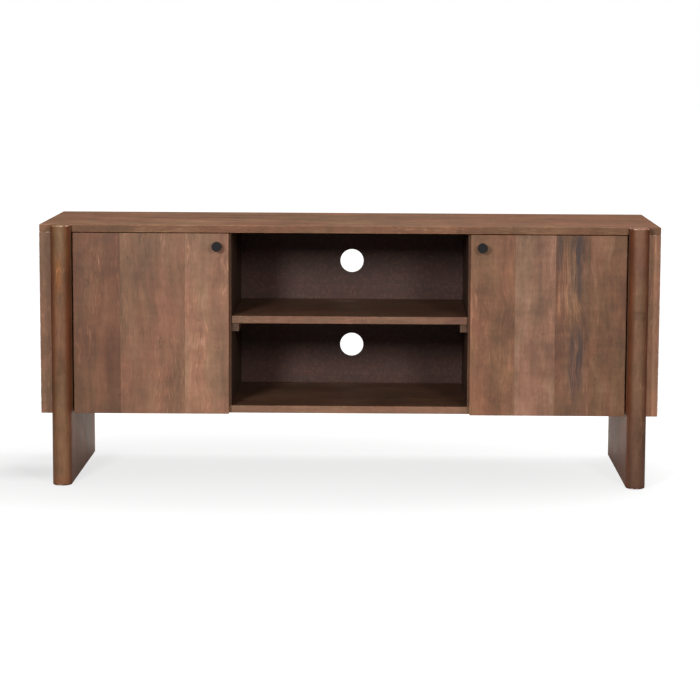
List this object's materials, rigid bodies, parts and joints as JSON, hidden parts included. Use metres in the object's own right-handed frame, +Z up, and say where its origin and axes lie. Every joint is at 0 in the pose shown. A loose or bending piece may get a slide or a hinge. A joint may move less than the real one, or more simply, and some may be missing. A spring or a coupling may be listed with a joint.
{
  "type": "tv stand with doors",
  "caption": "Low, wide wooden media console: open centre bay with a shelf and cable holes, a hinged door on either side, and full-depth slab legs with rounded noses.",
  "frame": {"origin": "centre of the overall footprint at floor level", "axes": "+X right along the width, +Y from the doors to the back, +Z up"},
  "size_m": [1.5, 0.455, 0.634],
  "materials": {
    "top_wood": "satin brown stain over edge-glued boards",
    "leg_wood": "satin brown stain, worn edges",
    "door_wood": "satin brown stain over upright edge-glued boards",
    "case_wood": "satin brown stain",
    "back_board": "dark stained veneer board",
    "dowel_wood": "plain",
    "black_metal": "matt black",
    "black_plastic": "moulded",
    "hinge_steel": "nickel plated",
    "fastener_steel": "zinc plated"
  },
  "bodies": {
    "cabinet": {"top_panel": "top_wood", "side_panel_left": "leg_wood", "side_panel_right": "leg_wood", "leg_left": "leg_wood", "leg_right": "leg_wood", "bottom_panel": "case_wood", "divider_left": "case_wood", "divider_right": "case_wood", "back_panel": "back_board", "center_shelf": "case_wood", "left_shelf": "case_wood", "right_shelf": "case_wood", "center_cleat_left": "case_wood", "center_cleat_right": "case_wood", "left_cleat_outer": "case_wood", "left_cleat_inner": "case_wood", "right_cleat_outer": "case_wood", "right_cleat_inner": "case_wood", "arm_left_upper": "hinge_steel", "arm_left_lower": "hinge_steel", "arm_right_upper": "hinge_steel", "arm_right_lower": "hinge_steel", "plate_left_upper": "hinge_steel", "plate_left_lower": "hinge_steel", "plate_right_upper": "hinge_steel", "plate_right_lower": "hinge_steel", "plate_screws": "fastener_steel", "arm_screws": "fastener_steel", "catch_left": "black_plastic", "catch_right": "black_plastic", "catch_screws": "fastener_steel", "leg_bolts": "fastener_steel", "panel_dowels": "dowel_wood", "back_screws": "fastener_steel", "cleat_screws": "fastener_steel", "glides": "black_plastic"},
    "door_left": {"door_left": "door_wood", "knob_left": "black_metal", "knob_screw_left": "fastener_steel", "cup_left_upper": "hinge_steel", "cup_left_lower": "hinge_steel", "pin_left_upper": "hinge_steel", "pin_left_lower": "hinge_steel", "cup_screws_left": "fastener_steel", "strike_left": "hinge_steel", "strike_screws_left": "fastener_steel", "bumpers_left": "black_plastic"},
    "door_right": {"door_right": "door_wood", "knob_right": "black_metal", "knob_screw_right": "fastener_steel", "cup_right_upper": "hinge_steel", "cup_right_lower": "hinge_steel", "pin_right_upper": "hinge_steel", "pin_right_lower": "hinge_steel", "cup_screws_right": "fastener_steel", "strike_right": "hinge_steel", "strike_screws_right": "fastener_steel", "bumpers_right": "black_plastic"}
  },
  "joints": [
    {"name": "left_door_hinge", "type": "hinge", "parent": "cabinet", "child": "door_left", "pos_m": [-0.651, -0.175, 0.3935], "axis": [0, 0, -1], "range_deg": [0, 95]},
    {"name": "right_door_hinge", "type": "hinge", "parent": "cabinet", "child": "door_right", "pos_m": [0.651, -0.175, 0.3935], "axis": [0, 0, 1], "range_deg": [0, 95]}
  ]
}
